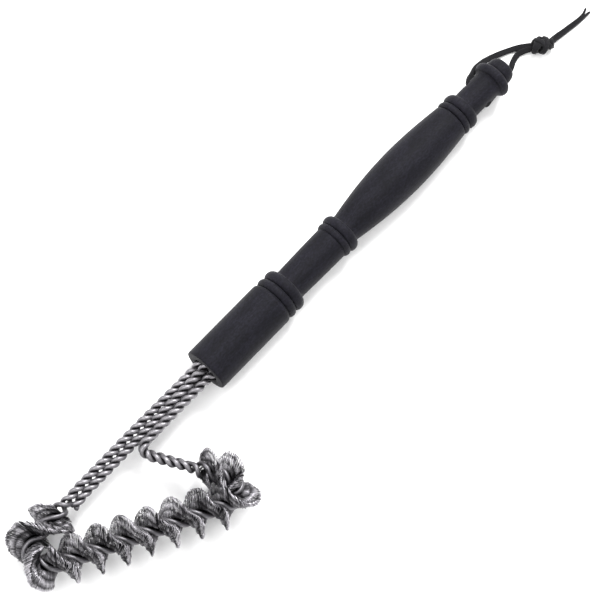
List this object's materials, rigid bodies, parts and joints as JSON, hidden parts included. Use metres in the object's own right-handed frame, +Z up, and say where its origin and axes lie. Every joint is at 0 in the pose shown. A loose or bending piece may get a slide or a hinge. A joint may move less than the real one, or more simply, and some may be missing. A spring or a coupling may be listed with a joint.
{
  "type": "grill cleaning brush",
  "caption": "Bristle-free grill brush: black turned wooden handle, triangular head of twisted steel wire ropes gripping a screw-shaped spring coil, black hanging lace.",
  "frame": {"origin": "middle of the brush without its lace, on the surface it lies on", "axes": "+X along the handle from the head to the knob, +Y across the handle away from the scrubbing bar, +Z up, square to the flat of the head"},
  "size_m": [0.4437, 0.0842, 0.0269],
  "materials": {
    "black_wood": "matt black stain over turned wood, faint grain",
    "wire_steel": "drawn stainless wire, slightly dulled",
    "spring_steel": "fine stainless spring wire, pressed flat",
    "lace_leather": "black suede lace",
    "resin": "cured amber resin"
  },
  "bodies": {
    "root": {"handle": "black_wood", "bore_resin": "resin", "core_wire_1": "wire_steel", "core_wire_2": "wire_steel", "stem_brace_wire_1": "wire_steel", "stem_brace_wire_2": "wire_steel", "strut_brace_wire_1": "wire_steel", "strut_brace_wire_2": "wire_steel", "scrub_coil": "spring_steel", "lace_left": "lace_leather", "lace_right": "lace_leather", "lace_knot": "lace_leather", "lace_tail_1": "lace_leather", "lace_tail_2": "lace_leather"}
  },
  "joints": []
}
